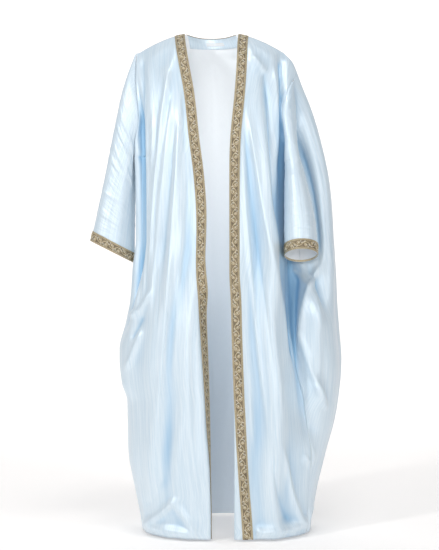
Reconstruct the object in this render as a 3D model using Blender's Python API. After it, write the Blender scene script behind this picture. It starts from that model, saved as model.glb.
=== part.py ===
"""Open-front kaftan robe, filled out as if it were worn.

Metres, +Z up, front towards -Y, the viewer's right towards +X.
The origin lies at the neck, level with the shoulder seams that carry the robe.
"""
import math

import bmesh
import bpy
import numpy as np
from mathutils import Vector

for item in list(bpy.data.objects):
    bpy.data.objects.remove(item)

CLOTH = 0.0015             # thickness of the cloth
SEAM_GAP = 0.0003          # clearance between pieces at a seam
BAND_WIDTH = 0.030         # embroidered band
BAND_THICKNESS = 0.0015
NECK_HALF_WIDTH = 0.079
NECK_DEPTH = 0.080         # of the back neckline, seen from above
NECK_BLEND = 0.06          # below this drop the back no longer feels the neckline
SHOULDER_PARTING = 0.0003  # each side of the shoulder seam
UNDERARM_EASE = 0.0005     # extra clearance of the seam just below the underarm
CORNER_EASE = 0.0015       # and at the shoulder point's corner
SHOULDER_HALF_WIDTH = 0.2175
CORNER_REACH = 0.025       # near the shoulder point's corner the cloth is pared down
SEAM_REACH = 0.006         # near the shoulder seam the cloth's rim stands upright
SHOULDER_DROP = 0.050      # the shoulder point lies this far below the neck point
SHOULDER_RUN = 0.135       # from the neck point out to the shoulder point
ARMHOLE_DEPTH = 0.36
SLIT_TOP = 0.09            # drop where the right armhole opens
SLIT_SPREAD = 7.2          # its half opening in degrees
ARMHOLE_FRONT = 0.60       # share of the left armhole's opening that lies in the front
ARMHOLE_CLEARANCE = 0.0007 # a sleeve's edge stands this far outside the panels
SHOULDER_SET_OFF = 0.0050  # how far a sleeve starts from the shoulder point's corner
NECK_BAND_RISE = 0.25      # the band rises past the neckline by this share of its top row
LABEL_COLUMNS = (3, 7)     # columns of the facing that the label covers
TURNED_STRIP = 0.048       # strip along the left front edge that rolls inwards lower down
ROLL_LENGTH = 0.020        # of cloth in which the strip makes its turn
FRONT_HALF = 90.005        # bearings up to this belong to the front at the shoulder seam
SQUARENESS = 2.5           # exponent of the oval that the body's sections follow
RING_STEPS = 720

# One row for each level section of the body, by its drop below the shoulder seam.
# left, right: the oval's ends; front, back: its depth each way from the shoulder line.
# left_edge, right_edge: x of the two front edges; turn: how far the left strip is rolled.
# left_seam, right_seam: bearing of the side seams in degrees round from the front.
# inset: how far the right band lies inside its edge.
SECTION_COLUMNS = ("drop", "left", "right", "front", "back", "left_edge", "right_edge",
                   "turn", "left_seam", "right_seam", "inset")
SECTIONS = (
    (0.000, -0.2205, 0.2146, 0.001, 0.010, -0.079, 0.079, 0, -90, 90, 0.000),
    (0.026, -0.2230, 0.2380, 0.040, 0.060, -0.076, 0.076, 0, -90, 90, 0.000),
    (0.064, -0.2250, 0.2530, 0.068, 0.095, -0.070, 0.074, 0, -90, 74, 0.000),
    (0.104, -0.2260, 0.2650, 0.088, 0.112, -0.063, 0.072, 0, -90, 58, 0.000),
    (0.187, -0.2240, 0.2916, 0.112, 0.130, -0.048, 0.066, 0, -90, 46, 0.000),
    (0.313, -0.2180, 0.3240, 0.130, 0.140, -0.034, 0.054, 0, -90, 41, 0.000),
    (0.426, -0.2130, 0.3480, 0.140, 0.145, -0.020, 0.051, 0, -92, 36, 0.000),
    (0.600, -0.2120, 0.3600, 0.152, 0.152, -0.010, 0.051, 0, -95, 33, 0.000),
    (0.700, -0.2260, 0.3630, 0.158, 0.156, -0.010, 0.051, 8, -95, 33, 0.000),
    (0.780, -0.2385, 0.3635, 0.162, 0.160, -0.010, 0.055, 32, -95, 34, 0.000),
    (0.860, -0.2540, 0.3680, 0.166, 0.164, -0.010, 0.057, 45, -95, 35, 0.000),
    (0.960, -0.2590, 0.3745, 0.171, 0.170, -0.010, 0.060, 57, -95, 37, 0.000),
    (1.040, -0.2510, 0.3700, 0.175, 0.174, -0.010, 0.063, 66, -95, 41, 0.000),
    (1.136, -0.2470, 0.3560, 0.179, 0.180, -0.011, 0.065, 76, -95, 46, 0.003),
    (1.240, -0.2430, 0.3270, 0.184, 0.186, -0.012, 0.065, 90, -95, 54, 0.009),
    (1.330, -0.2250, 0.3060, 0.187, 0.190, -0.013, 0.065, 96, -95, 59, 0.015),
    (1.400, -0.2100, 0.2980, 0.189, 0.192, -0.013, 0.065, 98, -95, 61, 0.020),
    (1.450, -0.2020, 0.2930, 0.190, 0.193, -0.013, 0.065, 98, -95, 62, 0.023),
)

# One row for each large fold: upper and lower drop of its line; the line's bearing at its
# top, middle and foot; half width in degrees; height, where a trough is negative.
FOLDS = (
    (0.05, 0.82, -80, -82, -84, 7, 0.013),  # left ridge that laps over the sleeve
    (0.06, 0.92, -69, -70, -72, 5, -0.016),  # long trough inside that ridge
    (0.08, 0.95, -58, -59, -62, 6, 0.008),
    (0.12, 1.45, -30, -36, -48, 7, 0.012),
    (0.15, 1.45, -24, -30, -36, 5, -0.008),
    (0.20, 1.45, -18, -24, -27, 5, 0.008),
    (0.84, 1.08, -80, -76, -72, 16, 0.014),  # bulge below the left sleeve
    (0.08, 1.50, 6, 3, 14, 4, 0.007),
    (0.08, 1.60, 24, 21, 36, 6, 0.026),  # right ridge beside the deep valley
    (0.12, 1.60, 15, 12, 24, 5, -0.007),
    (0.03, 0.80, 66, 47, 38, 9, -0.030),  # crease from the right shoulder
    (0.14, 1.24, 46, 37, 50, 11, -0.080),  # valley behind the right sleeve
    (0.22, 0.86, 58, 54, 58, 10, -0.055),  # the valley's right side, behind the cuff
    (0.68, 1.14, 58, 47, 56, 6, 0.034),  # lip of the flap beside the valley
    (0.25, 1.55, 176, 180, 180, 7, 0.016),
    (0.22, 1.55, 162, 160, 161, 7, -0.012),
    (0.20, 1.55, 148, 142, 143, 8, 0.016),
    (0.30, 1.55, 130, 122, 124, 9, -0.014),
    (0.22, 1.55, 198, 199, 198, 7, -0.012),
    (0.20, 1.55, 212, 217, 215, 8, 0.016),
    (0.30, 1.55, 230, 237, 234, 8, -0.013),
    (0.40, 1.55, 106, 100, 103, 9, 0.014),
)
ROW_DROPS = (0.0, 0.012, 0.030, 0.055, 0.09, 0.13, 0.18, 0.23, 0.28, 0.32, 0.36, 0.42, 0.48,
             0.54, 0.60, 0.66, 0.72, 0.78, 0.84, 0.90, 0.96, 1.02, 1.09, 1.16, 1.23, 1.30,
             1.37, 1.42, 1.45)

# Right sleeve beside its armhole, one row per body section: half width, depth forward
# and shift, how far the middle lies to the right.
SLIT_BULGES = (
    (0.0005, 0.003, 0.001),
    (0.001, 0.007, 0.001),
    (0.003, 0.017, 0.002),
    (0.006, 0.031, 0.003),
    (0.009, 0.047, 0.004),
    (0.013, 0.064, 0.006),
    (0.020, 0.078, 0.008),
)

# Right sleeve below the underarm, one row per level loop: height, x of the middle, y at
# the back, half width, depth and tilt. The last three rows carry the cuff band.
SLEEVE_LOOPS = (
    (-0.400, 0.2380, -0.0570, 0.026, 0.086, 0.003),
    (-0.445, 0.2425, -0.0610, 0.032, 0.096, 0.006),
    (-0.495, 0.2475, -0.0645, 0.038, 0.103, 0.009),
    (-0.545, 0.2520, -0.0680, 0.043, 0.108, 0.012),
    (-0.590, 0.2545, -0.0720, 0.046, 0.110, 0.015),
    (-0.621, 0.2560, -0.0745, 0.047, 0.110, 0.017),
    (-0.636, 0.2563, -0.0750, 0.047, 0.110, 0.018),
    (-0.651, 0.2565, -0.0750, 0.047, 0.110, 0.018),
)
NECK_BEARINGS = (158.7, 199.7)  # where the neckline's two ends lie on the back's top edge
STRIP_STEPS = 49
EDGE_LIP = 0.0006          # least cloth that shows beside the right band
BAND_COLUMNS = 3
FRONT_COLUMNS = 22
SLEEVE_ROWS = 11
SLEEVE_COLUMNS = 24
BACK_WRAP_COLUMNS = 14     # from the right seam round to the side
BACK_SIDE_COLUMNS = 8
NECK_COLUMNS = 12


def eased(value):
    """Smooth step from 0 to 1."""
    value = np.clip(value, 0.0, 1.0)
    return value * value * (3.0 - 2.0 * value)


def section_value(name, drop):
    """A column of the section table, read between its rows on a smooth curve."""
    table = np.array(SECTIONS, dtype=float)
    drops, values = table[:, 0], table[:, SECTION_COLUMNS.index(name)]
    slopes = np.diff(values) / np.diff(drops)
    tangents = np.concatenate(([slopes[0]], (slopes[1:] + slopes[:-1]) / 2, [slopes[-1]]))
    tangents[1:-1][slopes[1:] * slopes[:-1] <= 0] = 0.0
    row = int(np.clip(np.searchsorted(drops, drop) - 1, 0, len(drops) - 2))
    step = drops[row + 1] - drops[row]
    t = (drop - drops[row]) / step
    return ((1 + 2 * t) * (1 - t) ** 2 * values[row] + t * (1 - t) ** 2 * step * tangents[row]
            + t * t * (3 - 2 * t) * values[row + 1] - t * t * (1 - t) * step * tangents[row + 1])


def fold_lift(bearings, drop):
    """Height of all folds at the given bearings of one section."""
    lift = np.zeros_like(bearings)
    for upper, lower, first, middle, last, spread, height in FOLDS:
        along = (drop - upper) / (lower - upper)
        if not 0.0 < along < 1.0:
            continue
        line = first * (1 - along) ** 2 + last * along ** 2
        line += (2 * middle - (first + last) / 2) * 2 * along * (1 - along)
        fade = eased(along / 0.35) * eased((1 - along) / 0.25)
        turn = (bearings - line + 180) % 360 - 180
        lift += height * fade * np.exp(-(turn / spread) ** 2)
    return lift


def oval(drop, bearings):
    """Points of the body's oval at some bearings, before its folds."""
    left, right = section_value("left", drop), section_value("right", drop)
    sine, cosine = np.sin(np.radians(bearings)), np.cos(np.radians(bearings))
    reach = (np.abs(sine) ** SQUARENESS + np.abs(cosine) ** SQUARENESS) ** (-1 / SQUARENESS)
    x = (left + right) / 2 + (right - left) / 2 * sine * reach
    depth = np.where(cosine > 0, section_value("front", drop), section_value("back", drop))
    y = -depth * cosine * reach
    neckline = NECK_DEPTH * np.clip(1 - np.abs(x / NECK_HALF_WIDTH) ** 2.4, 0, 1)
    blend = eased(drop / NECK_BLEND)
    y = np.where(cosine < 0, neckline * (1 - blend) + y * blend, y)
    parting = SHOULDER_PARTING * (1 - eased(drop / 0.03))
    return x, y - parting * np.where(np.abs(bearings) <= FRONT_HALF, 1, -1)


def height_at(x, drop):
    """The shoulder line slopes down from the neck; the slope dies away below it."""
    run = np.clip((np.abs(x) - NECK_HALF_WIDTH) / SHOULDER_RUN, 0, 1)
    slope = 0.005 - (SHOULDER_DROP + 0.005) * run ** 1.5
    return -drop + slope * (1 - eased(drop / ARMHOLE_DEPTH))


def bearing_at(x_wanted, drop):
    """Bearing on the front half where the oval passes a given x."""
    bearings = np.linspace(-90, 90, RING_STEPS)
    return float(np.interp(x_wanted, oval(drop, bearings)[0], bearings))


def armhole_spread(drop):
    """Half opening of the left armhole in degrees: an eye from shoulder to underarm."""
    if drop >= ARMHOLE_DEPTH:
        return 0.0
    return 30 * math.sin(math.pi * min(1.0, drop / ARMHOLE_DEPTH)) ** 0.5


def slit_spread(drop):
    """Half opening of the right armhole: a narrow eye, closed by a plain seam above."""
    if drop >= ARMHOLE_DEPTH or drop <= SLIT_TOP:
        return 0.0
    along = (drop - SLIT_TOP) / (ARMHOLE_DEPTH - SLIT_TOP)
    return SLIT_SPREAD * math.sin(math.pi * along) ** 0.8


def folded(bearings, drop):
    """A section curve with its folds, as an array of points."""
    x, y = oval(drop, bearings)
    tangent = np.stack([np.gradient(x), np.gradient(y)], axis=1)
    tangent /= np.maximum(np.linalg.norm(tangent, axis=1, keepdims=True), 1e-9)
    lift = fold_lift(bearings, drop) * eased(drop / 0.12) * np.sign(bearings[-1] - bearings[0])
    x = x + tangent[:, 1] * lift
    y = y - tangent[:, 0] * lift
    return np.stack([x, y, height_at(x, drop)], axis=1)


def front_left_curve(drop):
    """Section of the left front, from its front edge round to its side seam."""
    turn = section_value("turn", drop)
    shift = TURNED_STRIP * (1 - math.cos(math.radians(max(turn - 6, 0))))
    start = bearing_at(section_value("left_edge", drop) - TURNED_STRIP + shift, drop)
    end = section_value("left_seam", drop) + armhole_spread(drop) * ARMHOLE_FRONT
    body = folded(np.linspace(start, end, RING_STEPS), drop)
    heading = body[0] - body[4]
    angle = math.atan2(heading[1], heading[0])
    steps = np.linspace(0, TURNED_STRIP, STRIP_STEPS)
    headings = angle + math.radians(turn) * eased(steps / ROLL_LENGTH)
    x = body[0][0] + np.concatenate(([0], np.cumsum(np.cos(headings[1:]) * steps[1])))
    y = body[0][1] + np.concatenate(([0], np.cumsum(np.sin(headings[1:]) * steps[1])))
    strip = np.stack([x, y, height_at(x, drop)], axis=1)
    return np.concatenate([strip[:0:-1], body])


def front_right_curve(drop):
    """Section of the right front, from its front edge round to its side seam."""
    start = bearing_at(section_value("right_edge", drop), drop)
    end = section_value("right_seam", drop) - slit_spread(drop)
    return folded(np.linspace(start, end, RING_STEPS), drop)


def back_bearings(drop):
    """Bearings where the back starts at the right seam and ends at the left one."""
    start = section_value("right_seam", drop) + max(slit_spread(drop), 0.01)
    return start, 360 + section_value("left_seam", drop) - armhole_spread(drop)


def back_curve(drop):
    """Section of the back, from the right side seam round behind to the left one."""
    start, end = back_bearings(drop)
    return folded(np.linspace(start, end, 2 * RING_STEPS), drop)


def seam_margin(drop):
    """How far a panel stops short of its seam; more at the shoulder point's corner."""
    underarm = math.exp(-((drop - ARMHOLE_DEPTH - 0.03) / 0.04) ** 2)
    corner = CORNER_EASE * (1 - eased(drop / 0.03))
    return SEAM_GAP / 2 + corner + UNDERARM_EASE * underarm


def arc_of(curve):
    """Distance of each point of a curve from its start."""
    return np.concatenate(([0], np.cumsum(np.linalg.norm(np.diff(curve, axis=0), axis=1))))


def dense_normals(grid):
    """Normals of a grid of points, rows down and samples across."""
    normals = np.cross(np.gradient(grid, axis=1), np.gradient(grid, axis=0))
    return normals / np.maximum(np.linalg.norm(normals, axis=2, keepdims=True), 1e-12)


def picked(values, position):
    """Rows of an array at fractional positions."""
    index = np.arange(len(values))
    return np.stack([np.interp(position, index, values[:, axis]) for axis in range(3)], axis=1)


def front_positions(curve, drop, inset):
    """The band's columns at set distances from the edge, the others evenly spread."""
    arc = arc_of(curve)
    edge = [0.0] if inset is None else [0.0, EDGE_LIP + inset]
    set_stops = edge + [edge[-1] + BAND_WIDTH * step / BAND_COLUMNS
                        for step in range(1, BAND_COLUMNS + 1)]
    rest = np.linspace(set_stops[-1], arc[-1] - seam_margin(drop), FRONT_COLUMNS + 1)
    return np.interp(np.concatenate((set_stops[:-1], rest)), arc, np.arange(len(arc)))


def back_positions(curve, drop):
    """Columns at set bearings, closer together where the back wraps to the front."""
    start, end = back_bearings(drop)
    side = 90 + 35 * (1 - eased(drop / 0.3))
    stops = np.concatenate((
        np.linspace(start, side, BACK_WRAP_COLUMNS + 1)[:-1],
        np.linspace(side, NECK_BEARINGS[0], BACK_SIDE_COLUMNS + 1)[:-1],
        np.linspace(*NECK_BEARINGS, NECK_COLUMNS + 1)[:-1],
        np.linspace(NECK_BEARINGS[1], end, BACK_SIDE_COLUMNS + 3)))
    arc = arc_of(curve)
    index = np.arange(len(arc))
    margin = seam_margin(drop)
    along = np.interp((stops - start) / (end - start) * index[-1], index, arc)
    return np.interp(margin + along * (1 - 2 * margin / arc[-1]), arc, index)


def material(name, colour, roughness, metallic=0.0):
    """A plain finish of one colour."""
    made = bpy.data.materials.new(name)
    made.use_nodes = True
    shader = made.node_tree.nodes["Principled BSDF"]
    shader.inputs["Base Color"].default_value = (*colour, 1.0)
    shader.inputs["Roughness"].default_value = roughness
    shader.inputs["Metallic"].default_value = metallic
    return made


def wall(name, outer, inner, finish, closed=False):
    """A closed solid between two grids of points; a closed grid gives a tube."""
    rows, columns = outer.shape[0] - 1, outer.shape[1] - 1
    mesh = bmesh.new()
    bmesh.ops.create_grid(mesh, x_segments=columns, y_segments=rows, size=0.5)
    row_of = mesh.verts.layers.int.new("row")
    column_of = mesh.verts.layers.int.new("column")
    for vertex in mesh.verts:
        vertex[row_of] = round((0.5 - vertex.co.y) * rows)
        vertex[column_of] = round((vertex.co.x + 0.5) * columns)
    if closed:
        first = {vertex[row_of]: vertex for vertex in mesh.verts if vertex[column_of] == 0}
        last = [vertex for vertex in mesh.verts if vertex[column_of] == columns]
        bmesh.ops.weld_verts(mesh, targetmap={vertex: first[vertex[row_of]] for vertex in last})
    bmesh.ops.triangulate(mesh, faces=mesh.faces[:], quad_method="FIXED")
    extruded = bmesh.ops.extrude_face_region(mesh, geom=mesh.faces[:], use_keep_orig=True)
    lower = {item for item in extruded["geom"] if isinstance(item, bmesh.types.BMVert)}
    for vertex in mesh.verts:
        grid = inner if vertex in lower else outer
        vertex.co = Vector(grid[vertex[row_of], vertex[column_of]])
    bmesh.ops.recalc_face_normals(mesh, faces=mesh.faces[:])
    if mesh.calc_volume(signed=True) < 0:
        bmesh.ops.reverse_faces(mesh, faces=mesh.faces[:])
    data = bpy.data.meshes.new(name)
    mesh.to_mesh(data)
    mesh.free()
    data.materials.append(finish)
    data.shade_smooth()
    made = bpy.data.objects.new(name, data)
    bpy.context.collection.objects.link(made)
    return made


def panel(name, curves, positions, finish, flip=False):
    """A body panel as a wall; returns its outer points and normals."""
    grid = np.array(curves)
    normals = dense_normals(grid) * (-1 if flip else 1)
    points = np.array([picked(grid[row], stops) for row, stops in enumerate(positions)])
    out = np.array([picked(normals[row], stops) for row, stops in enumerate(positions)])
    out /= np.linalg.norm(out, axis=2, keepdims=True)
    for _ in range(4):
        padded = np.concatenate([out[:, :1], out, out[:, -1:]], axis=1)
        mean = padded[:, :-2] + 2 * out + padded[:, 2:]
        rows = slice(0, ROW_DROPS.index(ARMHOLE_DEPTH) - 1)
        inside = mean[rows, 1:-1]
        out[rows, 1:-1] = inside / np.linalg.norm(inside, axis=2, keepdims=True)
    at_seam = np.exp(-(points[0, :, 1:2] / SEAM_REACH) ** 2)
    out[0] = out[0] * (1 - at_seam) + np.array((0, 0, 1)) * at_seam
    corners = np.array(((-SHOULDER_HALF_WIDTH, 0), (SHOULDER_HALF_WIDTH, 0)))
    away = np.linalg.norm(points[:, :, None, (0, 1)] - corners, axis=3).min(axis=2)
    away = np.hypot(away, np.array(ROW_DROPS)[:, None])
    thickness = CLOTH * (1 - 0.55 * np.exp(-(away / CORNER_REACH) ** 2))[:, :, None]
    wall(name, points, points - out * thickness, finish)
    return points, out


def band(name, points, out, finish, closed=False):
    """An embroidered band that lies on the outside of part of a panel."""
    inner = points + out * SEAM_GAP
    wall(name, inner + out * BAND_THICKNESS, inner, finish, closed)


def ring_normals(points):
    """Normals of a closed grid whose first and last columns are the same."""
    wrapped = np.concatenate([points[:, -2:-1], points, points[:, 1:2]], axis=1)
    across = wrapped[:, 2:] - wrapped[:, :-2]
    normals = np.cross(across, np.gradient(points, axis=0))
    return normals / np.linalg.norm(normals, axis=2, keepdims=True)


def sleeve(name, armhole, cuff_centre, cuff_width, cuff_depth, leaving, arriving, finish):
    """A tube lofted from the armhole's edge to an oval cuff; returns its band's points.

    The ring starts at the shoulder point, goes down the armhole's front edge to the
    underarm and back up the other edge. leaving says which way the cloth leaves the
    armhole on those four sides, and arriving points from the cuff back up the arm.
    """
    root, set_offs = armhole
    count = len(root) - 1
    angles = np.linspace(0, 2 * math.pi, count + 1)
    rails = []
    for start, set_off, angle in zip(root, set_offs, angles):
        end = cuff_centre + cuff_width * math.cos(angle) + cuff_depth * math.sin(angle)
        cosine, sine = math.cos(angle), math.sin(angle)
        weights = (cosine, sine * (1 + cosine), -cosine, -sine * (1 + cosine))
        push = sum(np.array(part) * max(0, weight) for part, weight in zip(leaving, weights))
        pull = sum(np.array(part) * max(0, weight) for part, weight in zip(arriving, weights))
        t = np.linspace(0, 1, 200)[:, None]
        rail = (1 - t) ** 3 * start + 3 * t * (1 - t) ** 2 * (start + push)
        rail = rail + 3 * t * t * (1 - t) * (end + pull) + t ** 3 * end
        arc = arc_of(rail)
        stops = np.concatenate((np.linspace(set_off, arc[-1] - BAND_WIDTH, SLEEVE_ROWS)[:-1],
                                arc[-1] - BAND_WIDTH * np.array([1.0, 0.5, 0.0])))
        rails.append([[np.interp(stop, arc, rail[:, axis]) for axis in range(3)]
                      for stop in stops])
    rails[-1] = rails[0]
    points = np.array(rails).transpose(1, 0, 2)
    out = ring_normals(points)
    middle = points.mean(axis=1, keepdims=True)
    if ((points - middle) * out).sum() < 0:
        out = -out
    for _ in range(3):
        ring = np.concatenate([out[:, -2:-1], out, out[:, 1:2]], axis=1)
        out = ring[:, :-2] + 2 * out + ring[:, 2:]
        out /= np.linalg.norm(out, axis=2, keepdims=True)
    wall(name, points, points - out * CLOTH, finish, closed=True)
    return points[-3:], out[-3:]


satin = material("ice_blue_satin", (0.62, 0.76, 0.87), 0.35)
gold = material("gold_embroidery", (0.38, 0.27, 0.13), 0.45, 0.4)
woven = material("label_weave", (0.75, 0.77, 0.78), 0.8)

left_curves = [front_left_curve(drop) for drop in ROW_DROPS]
left, left_out = panel(
    "front_left", left_curves,
    [front_positions(curve, drop, None) for curve, drop in zip(left_curves, ROW_DROPS)],
    satin)
band("front_trim_left", left[:, :BAND_COLUMNS + 1], left_out[:, :BAND_COLUMNS + 1], gold)

right_curves = [front_right_curve(drop) for drop in ROW_DROPS]
right, right_out = panel(
    "front_right", right_curves,
    [front_positions(curve, drop, section_value("inset", drop))
     for curve, drop in zip(right_curves, ROW_DROPS)], satin, flip=True)
band("front_trim_right", right[:, 1:BAND_COLUMNS + 2], right_out[:, 1:BAND_COLUMNS + 2], gold)

back_curves = [back_curve(drop) for drop in ROW_DROPS]
back, back_out = panel(
    "back", back_curves,
    [back_positions(curve, drop) for curve, drop in zip(back_curves, ROW_DROPS)], satin,
    flip=True)

neck = slice(BACK_WRAP_COLUMNS + BACK_SIDE_COLUMNS + 1,
             BACK_WRAP_COLUMNS + BACK_SIDE_COLUMNS + NECK_COLUMNS)
neck_band = back[:3, neck].copy()
neck_band[0] += (neck_band[0] - neck_band[1]) * NECK_BAND_RISE + back_out[0, neck] * CLOTH / 2
band("neck_trim_back", neck_band, back_out[:3, neck], gold)
facing = back[:3, neck] - back_out[:3, neck] * (CLOTH + SEAM_GAP)
facing_under = facing - back_out[:3, neck] * CLOTH / 2
wall("neck_facing", facing, facing_under, satin)
first, last = LABEL_COLUMNS
label = (facing_under - back_out[:3, neck] * 2 * SEAM_GAP)[1:3, first:last + 1]
label[1] = label[0] * 0.5 + label[1] * 0.5
wall("neck_label", label, label - back_out[1:3, neck][:, first:last + 1] * CLOTH / 2, woven)

underarm_row = ROW_DROPS.index(ARMHOLE_DEPTH)


def armhole_ring(front, front_out, back_column):
    """The armhole's edge as a ring of points just outside the panels."""
    down = front[:underarm_row + 1, -1] + front_out[:underarm_row + 1, -1] * ARMHOLE_CLEARANCE
    edge = back[:underarm_row, back_column] + (
        back_out[:underarm_row, back_column] * ARMHOLE_CLEARANCE)
    shoulder = (down[0] + edge[0]) / 2
    ring = np.concatenate([[shoulder], down[1:], edge[:0:-1], [shoulder]])
    drops = np.array(ROW_DROPS[:underarm_row + 1])
    set_off = SHOULDER_SET_OFF * (1 - eased(drops / 0.09))
    return ring, np.concatenate([set_off, set_off[underarm_row - 1::-1]])


left_band = sleeve(
    "sleeve_left", armhole_ring(left, left_out, -1),
    cuff_centre=np.array((-0.294, 0.020, -0.6385)),
    cuff_width=np.array((-0.066, 0, 0.0335)), cuff_depth=np.array((0, -0.042, 0)),
    leaving=((-0.022, 0, 0.005), (-0.020, -0.010, 0), (-0.01, 0, 0), (-0.020, 0.01, 0)),
    arriving=((0.06, 0, 0.20), (0.02, 0, 0.20), (0, 0, 0.20), (0.02, 0, 0.20)),
    finish=satin)
band("cuff_trim_left", *left_band, gold, closed=True)


def right_sleeve_rows():
    """Rows of the right sleeve: from the armhole's two edges down to loops at the cuff."""
    slit_rows = range(ROW_DROPS.index(SLIT_TOP) + 1, underarm_row + 1)
    front_edge = right[:, -1] + right_out[:, -1] * ARMHOLE_CLEARANCE
    back_edge = back[:, 0] + back_out[:, 0] * ARMHOLE_CLEARANCE
    top = slit_rows[0]
    starts = [front_edge[top - 1] * 0.7 + front_edge[top] * 0.3]
    ends = [back_edge[top - 1] * 0.7 + back_edge[top] * 0.3]
    starts += [front_edge[row] for row in slit_rows]
    ends += [back_edge[row] for row in slit_rows]
    ends[-1] = ends[-1] + np.array((0.003, 0, 0))
    shapes = [(half_width, depth, shift, 0, 0) for half_width, depth, shift in SLIT_BULGES]
    for height, x, back_y, half_width, depth, tilt in SLEEVE_LOOPS:
        starts.append(np.array((x - SEAM_GAP, back_y, height)))
        ends.append(np.array((x + SEAM_GAP, back_y, height)))
        shapes.append((half_width, depth, 0, 1, tilt))
    rows = []
    turn = np.linspace(0, 1, 400)[:, None]
    whole = 2 * math.pi * turn
    for start, end, (half_width, depth, shift, roundness, tilt) in zip(starts, ends, shapes):
        drawn_in = 1.3 * np.sin(math.pi * turn) * (1 - roundness) + roundness
        side = shift * (1 - np.cos(whole)) / 2 - half_width * np.sin(whole) * drawn_in
        loop = start + (end - start) * (1 - np.cos(math.pi * turn)) / 2
        loop = loop + np.concatenate((side,
                                      -depth * (1 - np.cos(whole)) / 2,
                                      -tilt * np.cos(whole)), axis=1)
        arc = arc_of(loop)
        stops = np.linspace(0, arc[-1], SLEEVE_COLUMNS + 1)
        rows.append(picked(loop, np.interp(stops, arc, np.arange(len(arc)))))
    return np.array(rows)


tube = right_sleeve_rows()
tube_out = dense_normals(tube)
if ((tube - tube.mean(axis=1, keepdims=True)) * tube_out).sum() < 0:
    tube_out = -tube_out
loops = slice(len(SLIT_BULGES), None)
seam_out = tube_out[loops, 0] + tube_out[loops, -1]
seam_out /= np.linalg.norm(seam_out, axis=1, keepdims=True)
tube_out[loops, 0] = seam_out
tube_out[loops, -1] = seam_out
pared = CLOTH * (1 - 0.5 * np.exp(-np.arange(len(tube)) / 1.2))[:, None, None]
wall("sleeve_right", tube, tube - tube_out * pared, satin)
band("cuff_trim_right", tube[-3:], tube_out[-3:], gold)
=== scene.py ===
import math

import bmesh
import bpy
import numpy as np
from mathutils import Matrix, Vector


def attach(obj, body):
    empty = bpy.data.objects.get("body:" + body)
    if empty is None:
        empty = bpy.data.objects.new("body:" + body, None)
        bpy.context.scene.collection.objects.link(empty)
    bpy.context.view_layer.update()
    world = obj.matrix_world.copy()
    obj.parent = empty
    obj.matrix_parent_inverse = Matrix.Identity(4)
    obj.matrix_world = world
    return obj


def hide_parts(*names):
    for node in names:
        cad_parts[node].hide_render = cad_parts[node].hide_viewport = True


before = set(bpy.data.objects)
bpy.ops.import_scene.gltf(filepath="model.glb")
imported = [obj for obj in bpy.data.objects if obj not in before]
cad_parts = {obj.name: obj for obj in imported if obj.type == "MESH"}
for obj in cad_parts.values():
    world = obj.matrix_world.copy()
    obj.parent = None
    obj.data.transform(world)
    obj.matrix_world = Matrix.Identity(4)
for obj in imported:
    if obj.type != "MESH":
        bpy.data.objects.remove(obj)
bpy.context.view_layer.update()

# Floor and backdrop: one sheet of white studio card, flat under the robe and swept up
# in a wide bend behind it. It only catches the light and isn't part of the robe.
FLOOR_LEVEL, CARD_HALF_WIDTH = -1.456, 9.0
CARD_START, CARD_LENGTH = -6.0, 18.5
BEND_START, BEND_RADIUS = 5.8, 1.9
floor_mesh = bmesh.new()
bmesh.ops.create_grid(floor_mesh, x_segments=2, y_segments=60, size=1.0)
for vertex in floor_mesh.verts:
    along = (vertex.co.y + 1) / 2 * CARD_LENGTH + CARD_START
    bend = min(max((along - BEND_START) / BEND_RADIUS, 0.0), math.pi / 2)
    past = max(along - BEND_START - BEND_RADIUS * math.pi / 2, 0.0)
    rise = BEND_RADIUS * (1 - math.cos(bend)) + past
    behind = min(along, BEND_START) + BEND_RADIUS * math.sin(bend)
    vertex.co = (vertex.co.x * CARD_HALF_WIDTH, behind, FLOOR_LEVEL + rise)
floor_data = bpy.data.meshes.new("studio_floor")
floor_mesh.to_mesh(floor_data)
floor_mesh.free()
floor_data.shade_smooth()
studio_floor = bpy.data.objects.new("studio_floor", floor_data)
bpy.context.collection.objects.link(studio_floor)
card = bpy.data.materials.new("studio_card")
card.use_nodes = True
card_shader = card.node_tree.nodes["Principled BSDF"]
card_shader.inputs["Base Color"].default_value = (0.95, 0.915, 0.89, 1)
card_shader.inputs["Roughness"].default_value = 0.9
card_shader.inputs["Specular IOR Level"].default_value = 0.1
card_shader.inputs["Emission Color"].default_value = (1.0, 0.975, 0.96, 1)
card_shader.inputs["Emission Strength"].default_value = 0.21
floor_data.materials.append(card)

# Camera: level, at the middle of the robe's height and far enough off to see shoulders
# and hem at nearly the same scale, as the photograph was taken.
lens = bpy.data.cameras.new("photo_camera")
lens.lens = 79.6
lens.sensor_width = 36.0
photo_camera = bpy.data.objects.new("photo_camera", lens)
photo_camera.location = (0.0237, -3.6, -0.707)
photo_camera.rotation_euler = (math.pi / 2, 0, 0)
bpy.context.collection.objects.link(photo_camera)
bpy.context.scene.camera = photo_camera

# Light: a soft key from in front, a small lamp far left and a thin strip at the right
# that draw the sheen along the folds, one lamp above, one on the backdrop, and two faint
# ones inside the robe. A pale room stands all round.
bpy.context.scene.view_settings.view_transform = "Standard"
room = bpy.data.worlds.new("studio_room")
room.use_nodes = True
room.node_tree.nodes["Background"].inputs["Color"].default_value = (0.88, 0.94, 1.0, 1)
room.node_tree.nodes["Background"].inputs["Strength"].default_value = 0.36
bpy.context.scene.world = room


def soft_light(name, place, target, width, height, watts):
    """A rectangular lamp that faces a target."""
    lamp = bpy.data.lights.new(name, "AREA")
    lamp.shape = "RECTANGLE"
    lamp.size = width
    lamp.size_y = height
    lamp.energy = watts
    holder = bpy.data.objects.new(name, lamp)
    holder.location = place
    holder.rotation_euler = (Vector(target) - Vector(place)).to_track_quat("-Z", "Y").to_euler()
    bpy.context.collection.objects.link(holder)


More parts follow.
